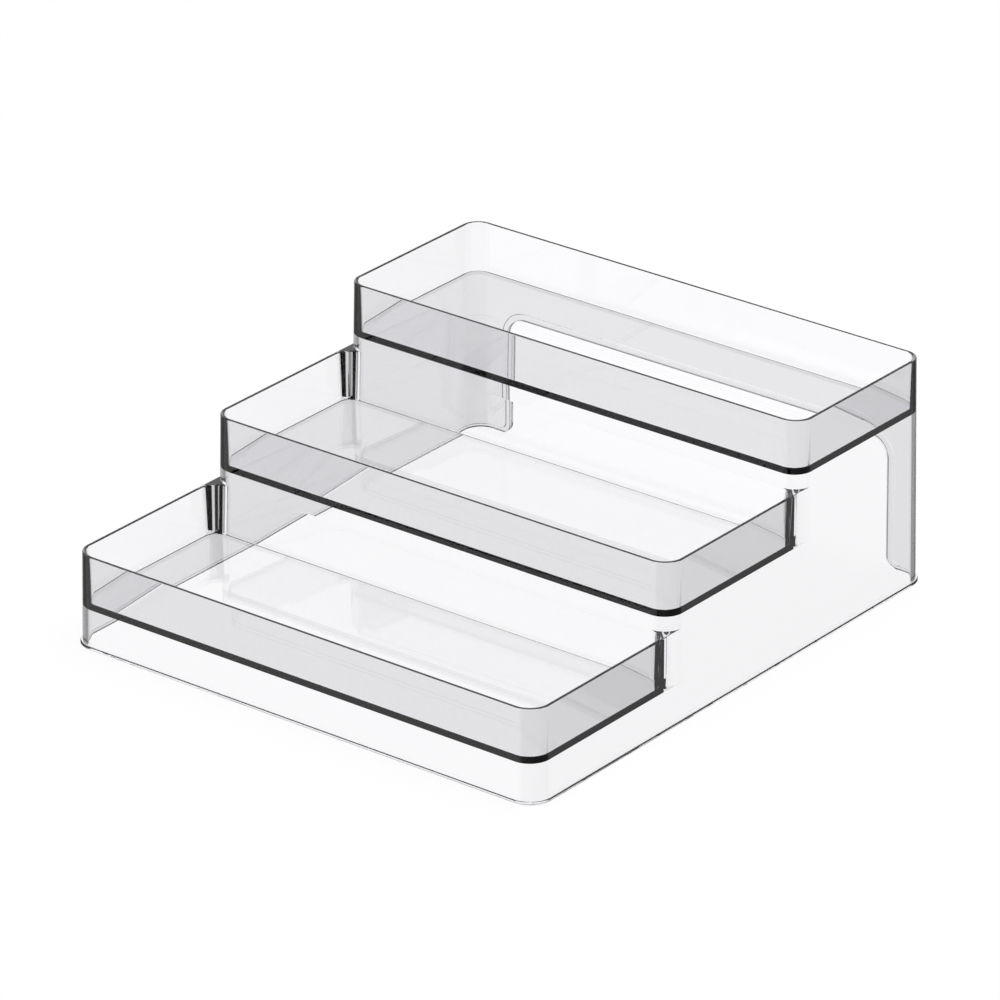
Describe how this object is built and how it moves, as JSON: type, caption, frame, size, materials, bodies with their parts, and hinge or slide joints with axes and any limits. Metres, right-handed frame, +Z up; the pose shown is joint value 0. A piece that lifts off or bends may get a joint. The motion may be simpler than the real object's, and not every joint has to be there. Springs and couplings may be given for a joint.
{
  "type": "tiered organizer",
  "caption": "Clear plastic organizer with stepped shallow trays, drafted thin walls, a foot flange, an open underside and a large arched opening at the rear.",
  "frame": {"origin": "middle of the foot, at the level of the surface it stands on", "axes": "+X to the right across the width, +Y from the low front to the high rear, +Z up"},
  "size_m": [0.254, 0.282, 0.107],
  "materials": {
    "clear_plastic": "polished, clear"
  },
  "bodies": {
    "root": {"foot_flange": "clear_plastic", "front_skirt": "clear_plastic", "left_side_panel": "clear_plastic", "right_side_panel": "clear_plastic", "rear_panel": "clear_plastic", "rear_opening_lip": "clear_plastic", "lower_tray_floor": "clear_plastic", "middle_tray_floor": "clear_plastic", "upper_tray_floor": "clear_plastic", "lower_tray_wall": "clear_plastic", "middle_tray_wall": "clear_plastic", "upper_tray_wall": "clear_plastic", "middle_riser": "clear_plastic", "upper_riser": "clear_plastic", "lower_left_deck": "clear_plastic", "lower_right_deck": "clear_plastic", "middle_left_deck": "clear_plastic", "middle_right_deck": "clear_plastic"}
  },
  "joints": []
}
